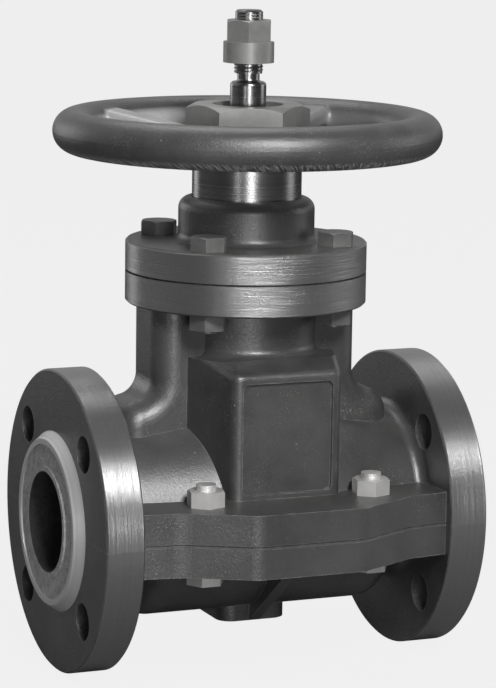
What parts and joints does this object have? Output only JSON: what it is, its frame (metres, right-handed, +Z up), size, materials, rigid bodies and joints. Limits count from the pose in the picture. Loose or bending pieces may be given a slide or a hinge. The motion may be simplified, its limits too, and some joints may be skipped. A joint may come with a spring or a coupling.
{
  "type": "manual pinch valve",
  "caption": "Flanged manual pinch valve: a handwheel and sleeve nut draw a bar and a cradle together to squeeze a straight-through rubber sleeve shut.",
  "frame": {"origin": "on the stem axis, at the level of the lowest point of the pipe flanges", "axes": "+X along the pipe towards the right-hand flange, +Z up the stem"},
  "size_m": [0.216, 0.1984, 0.3345],
  "materials": {
    "body_paint": "satin paint on sand-cast iron",
    "wheel_paint": "satin paint on cast iron",
    "gasket": "compressed fibre sheet",
    "bronze": "turned bronze",
    "polished_steel": "turned and polished",
    "machined_steel": "plain machined",
    "nut_steel": "blackened and worn",
    "bolt_steel": "bright zinc plate",
    "cast_parts": "bare casting",
    "rubber": "fabric-reinforced rubber",
    "ring_metal": "satin turned"
  },
  "bodies": {
    "casing": {"upper_body": "body_paint", "lower_body": "body_paint", "bonnet": "body_paint", "bonnet_gasket": "gasket", "thrust_plate": "machined_steel", "lower_thrust_washer": "bronze", "upper_thrust_washer": "bronze", "stem_nut_bush": "bronze", "dust_seal": "rubber", "sleeve_middle": "rubber", "sleeve_end_left": "rubber", "sleeve_end_right": "rubber", "face_ring_left": "ring_metal", "face_ring_right": "ring_metal", "body_bolts": "bolt_steel", "body_nuts": "bolt_steel", "bonnet_bolts": "bolt_steel", "bonnet_nuts": "bolt_steel"},
    "wheel": {"stem_nut": "polished_steel", "handwheel": "wheel_paint", "wheel_key": "machined_steel", "wheel_nut": "nut_steel"},
    "stem": {"stem": "polished_steel", "stop_collar": "nut_steel", "lock_nut": "nut_steel", "pinch_bar": "cast_parts", "pinch_bar_pin": "machined_steel"},
    "cradle": {"crosshead": "cast_parts", "tie_rods": "machined_steel", "tie_rod_nuts": "bolt_steel", "lower_cradle": "cast_parts"}
  },
  "joints": [
    {"name": "handwheel_spin", "type": "hinge", "parent": "casing", "child": "wheel", "pos_m": [0, 0, 0.2728], "axis": [0, 0, 1], "range_deg": [-2295, 0]},
    {"name": "stem_travel", "type": "slide", "parent": "casing", "child": "stem", "axis": [0, 0, 1], "range_m": [-0.0255, 0], "deforming": ["sleeve_middle"]},
    {"name": "cradle_lift", "type": "slide", "parent": "casing", "child": "cradle", "axis": [0, 0, 1], "range_m": [0, 0.0255], "deforming": ["sleeve_middle"]}
  ],
  "couplings": [
    {"joint": "stem_travel", "follows": "handwheel_spin", "m_per_rad": 0.00063662},
    {"joint": "cradle_lift", "follows": "handwheel_spin", "m_per_rad": -0.00063662}
  ]
}
